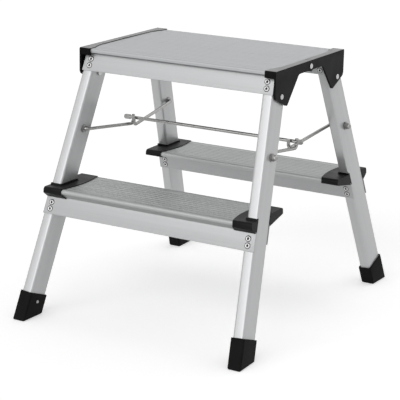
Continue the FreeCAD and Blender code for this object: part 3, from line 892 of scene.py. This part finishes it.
def pivot_rivet(head_x, tail_x, tail_radius, out, z):
    """Rivet along X on the right: dome on head_x, shank, and a tail disc that ends at tail_x."""
    arc = [(head_x + dome_rise * math.sin(t), dome_radius * math.cos(t)) for t in
           [math.radians(90 - 90 * k / 8) for k in range(9)]]
    profile = arc + [(head_x, shank_radius), (tail_x + tail_thick, shank_radius),
                     (tail_x + tail_thick, tail_radius), (tail_x, tail_radius), (tail_x, 0)]
    work = bmesh.new()
    line = [work.verts.new((x, -out, z + r)) for x, r in profile]
    edges = [work.edges.new(pair) for pair in zip(line, line[1:])]
    bmesh.ops.spin(work, geom=line + edges, cent=(0, -out, z), axis=(1, 0, 0), angle=math.tau, steps=28)
    return settled(work, True)


def rivet_pair(name, node, body, tail_radius, out, z):
    """The rivets of one pivot on both sides, in the place of their CAD node."""
    low_corner, high_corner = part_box(node)
    tail_x = min(v.co.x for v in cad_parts[node].data.vertices if v.co.x > 0)
    right = pivot_rivet(high_corner.x - dome_rise, tail_x, tail_radius, out, z)
    place(f"{name}_left", shaded(moved(right, mirror)), "rivet_metal", body)
    place(f"{name}_right", shaded(right), "rivet_metal", body, node)


pivot_slope = 0.0485
tail_radius_frame = 0.0050
pivot_at = frame_point(0, pivot_slope, 0)
rivet_pair("front_pivot_rivet", "front_pivot_rivets", "front_frame", tail_radius_frame, -pivot_at.y, pivot_at.z)
rivet_pair("rear_pivot_rivet", "rear_pivot_rivets", "rear_frame", tail_radius_frame, pivot_at.y, pivot_at.z)
rivet_pair("centre_rivet", "centre_rivets", "rear_platform_half", 0.0033, 0, 0.4495)
print("Pivot rivets:", made[-1])

# %% [markdown]
# ## Blind rivets
# A blind rivet shows a domed ring with the end of its mandrel sunk in the middle. There are 32 of them
# and they are all alike, so one is drawn in a tree, from a ring with a flattened round section, a near-black
# disc of painted shade in its hole and a wider dark disc of painted shadow under its edge, and set on points.
# Each point carries the direction that its rivet faces as an attribute.

# %% The tree of rivets
rivet_head = 0.0046
rivet_rise = 0.0014
rivet_pitch = 0.0116
rivet_inboard = 0.0023
rail_rivet_z = 0.440
tread_rivet_z = 0.1992


def circle(nodes, links, radius_socket, points):
    """A circle of curve whose radius comes from a socket."""
    ring = nodes.new("GeometryNodeCurvePrimitiveCircle")
    ring.inputs["Resolution"].default_value = points
    links.new(radius_socket, ring.inputs["Radius"])
    return ring.outputs[0]


def scaled(nodes, links, value, factor):
    """A value times a factor."""
    product = nodes.new("ShaderNodeMath")
    product.operation = "MULTIPLY"
    product.inputs[1].default_value = factor
    links.new(value, product.inputs[0])
    return product.outputs[0]


def rivets_tree():
    """A ring of Head radius and Rise, with a near-black disc of painted shade in its eye and a wider dark disc of
    painted shadow round its base, on each seed point along its facing.
    """
    tree, entry, leave = new_tree("rivets", [("Head", "Float"), ("Rise", "Float"), ("Finish", "Material"),
                                             ("Eye", "Material"), ("Rim", "Material")])
    nodes, links = tree.nodes, tree.links
    path = circle(nodes, links, scaled(nodes, links, entry.outputs["Head"], 0.68), 28)
    section = circle(nodes, links, scaled(nodes, links, entry.outputs["Head"], 0.32), 12)
    ring = nodes.new("GeometryNodeCurveToMesh")
    links.new(path, ring.inputs["Curve"])
    links.new(section, ring.inputs["Profile Curve"])
    flat = nodes.new("GeometryNodeTransform")
    ratio = nodes.new("ShaderNodeMath")
    ratio.operation = "DIVIDE"
    links.new(entry.outputs["Rise"], ratio.inputs[0])
    links.new(scaled(nodes, links, entry.outputs["Head"], 0.32), ratio.inputs[1])
    size = nodes.new("ShaderNodeCombineXYZ")
    size.inputs["X"].default_value = 1
    size.inputs["Y"].default_value = 1
    links.new(ratio.outputs[0], size.inputs["Z"])
    links.new(ring.outputs[0], flat.inputs["Geometry"])
    links.new(size.outputs[0], flat.inputs["Scale"])
    bright = nodes.new("GeometryNodeSetMaterial")
    links.new(flat.outputs[0], bright.inputs["Geometry"])
    links.new(entry.outputs["Finish"], bright.inputs["Material"])
    # Painted shade: a near-black disc in the ring's hole stands for the shade in the mandrel's hole.
    eye = nodes.new("GeometryNodeMeshCylinder")
    eye.inputs["Vertices"].default_value = 16
    links.new(scaled(nodes, links, entry.outputs["Head"], 0.42), eye.inputs["Radius"])
    links.new(scaled(nodes, links, entry.outputs["Rise"], 0.5), eye.inputs["Depth"])
    dark = nodes.new("GeometryNodeSetMaterial")
    links.new(eye.outputs[0], dark.inputs["Geometry"])
    links.new(entry.outputs["Eye"], dark.inputs["Material"])
    # Painted shadow: a thin dark disc, wider than the head, stands for the contact shadow round the head's edge.
    rim = nodes.new("GeometryNodeMeshCylinder")
    rim.inputs["Vertices"].default_value = 28
    links.new(scaled(nodes, links, entry.outputs["Head"], 1.16), rim.inputs["Radius"])
    links.new(scaled(nodes, links, entry.outputs["Rise"], 0.3), rim.inputs["Depth"])
    rim_shadow = nodes.new("GeometryNodeSetMaterial")
    links.new(rim.outputs[0], rim_shadow.inputs["Geometry"])
    links.new(entry.outputs["Rim"], rim_shadow.inputs["Material"])
    whole = nodes.new("GeometryNodeJoinGeometry")
    links.new(bright.outputs[0], whole.inputs[0])
    links.new(dark.outputs[0], whole.inputs[0])
    links.new(rim_shadow.outputs[0], whole.inputs[0])
    facing = nodes.new("GeometryNodeInputNamedAttribute")
    facing.data_type = "FLOAT_VECTOR"
    facing.inputs["Name"].default_value = "facing"
    turn = nodes.new("FunctionNodeAlignRotationToVector")
    turn.axis = "Z"
    links.new(facing.outputs[0], turn.inputs["Vector"])
    spread = nodes.new("GeometryNodeInstanceOnPoints")
    links.new(entry.outputs["Geometry"], spread.inputs["Points"])
    links.new(whole.outputs[0], spread.inputs["Instance"])
    links.new(turn.outputs[0], spread.inputs["Rotation"])
    real = nodes.new("GeometryNodeRealizeInstances")
    links.new(spread.outputs[0], real.inputs[0])
    links.new(real.outputs[0], leave.inputs[0])
    return tree


rivets = rivets_tree()


def facing_points(pairs):
    """Seed points with the direction that each faces."""
    mesh = points_mesh([point for point, _ in pairs])
    attribute = mesh.attributes.new("facing", "FLOAT_VECTOR", "POINT")
    attribute.data.foreach_set("vector", [v for _, direction in pairs for v in direction])
    return mesh


# %% Rivets of the rails and treads
def rivet_seeds(top_z):
    """Two rivets at each end, on the outer and the inner skirt."""
    pairs = []
    for side in (1, -1):
        first = slope_at(top_z, side * face_out)
        for slope in (first, first + rivet_pitch):
            x = stile_x(slope) - rivet_inboard
            for end_x in (x, -x):
                pairs.append((frame_point(end_x, slope, side * skirt_out), outward * side))
    return pairs


for row_name, row_z in (("rail_rivets", rail_rivet_z), ("tread_rivets", tread_rivet_z)):
    row = grown(rivets, facing_points(rivet_seeds(row_z)), Head=rivet_head, Rise=rivet_rise,
                Finish=finishes["rivet_metal"], Eye=finishes["painted_hole_shade"], Rim=finishes["painted_rim_shadow"])
    for end_name, end_matrix in (("front", Matrix()), ("rear", turn_round)):
        place(f"{end_name}_{row_name}_fine", shaded(moved(row, end_matrix)), None, f"{end_name}_frame",
              f"{end_name}_{row_name}")
print("Rivets:", made[-1])

# %% [markdown]
# ## Brace wires
# The braces are plain wire, bent round: out of the stile, along to the middle, and up again in a hook.
# A curve with a bevel would do, but a tree can also round each corner by its own radius, which it reads
# from an attribute on the path's points.

# %% The tree of wires
wire_radius = 0.003


def wire_tree():
    """Round wire of Radius along the seed path, its corners rounded by the bend attribute."""
    tree, entry, leave = new_tree("wire", [("Radius", "Float"), ("Finish", "Material")])
    nodes, links = tree.nodes, tree.links
    path = nodes.new("GeometryNodeMeshToCurve")
    links.new(entry.outputs["Geometry"], path.inputs["Mesh"])
    bend = nodes.new("GeometryNodeInputNamedAttribute")
    bend.data_type = "FLOAT"
    bend.inputs["Name"].default_value = "bend"
    fillet = nodes.new("GeometryNodeFilletCurve")
    fillet.mode = "POLY"
    fillet.inputs["Count"].default_value = 10
    fillet.inputs["Limit Radius"].default_value = True
    links.new(path.outputs[0], fillet.inputs["Curve"])
    links.new(bend.outputs[0], fillet.inputs["Radius"])
    wire = nodes.new("GeometryNodeCurveToMesh")
    wire.inputs["Fill Caps"].default_value = True
    links.new(fillet.outputs[0], wire.inputs["Curve"])
    links.new(circle(nodes, links, entry.outputs["Radius"], 20), wire.inputs["Profile Curve"])
    finish_tree(tree, wire.outputs[0], entry, leave)
    return tree


wire = wire_tree()


def bent_wire(points, bends):
    """Wire along the points, each corner with its bend radius."""
    seed = points_mesh(points, [(k, k + 1) for k in range(len(points) - 1)])
    attribute = seed.attributes.new("bend", "FLOAT", "POINT")
    attribute.data.foreach_set("value", bends)
    return grown(wire, seed, Radius=wire_radius, Finish=finishes["zinc"])


# %% Braces
brace_slope = 0.1496
front_wire_x = 0.167
rear_wire_x = 0.1575
wire_start_x = 0.1678
hook_low_z = 0.3025
hook_tip_z = 0.3195
hook_touch = 0.00005
hook_free = 0.0003
brace_out = -frame_point(0, brace_slope, 0).y
brace_z = frame_point(0, brace_slope, 0).z
wire_tip_x = stile_x(brace_slope) + stile_width / 2 / math.cos(splay) + 0.0012 + 0.0055


def brace_wire(knee_x, riser_y):
    """The front right brace: pin, shank and a hook that opens upwards."""
    return bent_wire([Vector((wire_tip_x, -brace_out, brace_z)), Vector((wire_start_x, -brace_out, brace_z)),
                      Vector((knee_x, riser_y, hook_low_z)), Vector((knee_x, riser_y, hook_tip_z))],
                     [0, 0.0056, 0.007, 0])


front_wire = brace_wire(front_wire_x, 2 * wire_radius + hook_touch)
rear_wire = moved(brace_wire(rear_wire_x, 2 * wire_radius + hook_free), turn_round)
place("front_brace_right_wire", shaded(front_wire, 60), None, "front_braces", "front_brace_right")
place("front_brace_left_wire", shaded(moved(front_wire, mirror), 60), None, "front_braces", "front_brace_left")
place("rear_brace_left_wire", shaded(rear_wire, 60), None, "rear_braces", "rear_brace_left")
place("rear_brace_right_wire", shaded(moved(rear_wire, mirror), 60), None, "rear_braces", "rear_brace_right")
print("Wires:", made[-1])

# %% [markdown]
# ## What stays as it came
# Small parts whose CAD solid already has the real form keep it, and only get their finish. A shape is
# rebuilt where that shows, and a washer or a bush shows nothing that the solid lacks.

# %% Finishes on the CAD nodes that stay
kept = {"cross_rod": "zinc"}
for end_name in ("front", "rear"):
    kept.update({f"{end_name}_foot_screws": "zinc", f"{end_name}_pivot_bushes": "nylon",
                 f"{end_name}_brace_washers": "zinc", f"{end_name}_brace_nuts": "zinc"})
for node, finish in kept.items():
    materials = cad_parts[node].data.materials
    materials.clear()
    materials.append(finishes[finish])
print("Kept nodes:", len(kept))

# %% [markdown]
# ## Pieces made
# Dressing a part must not change its size. The last cell counts the pieces made and their faces.

# %% Count the pieces
print("Pieces made:", len(made), "with", sum(count for _, count in made), "faces")
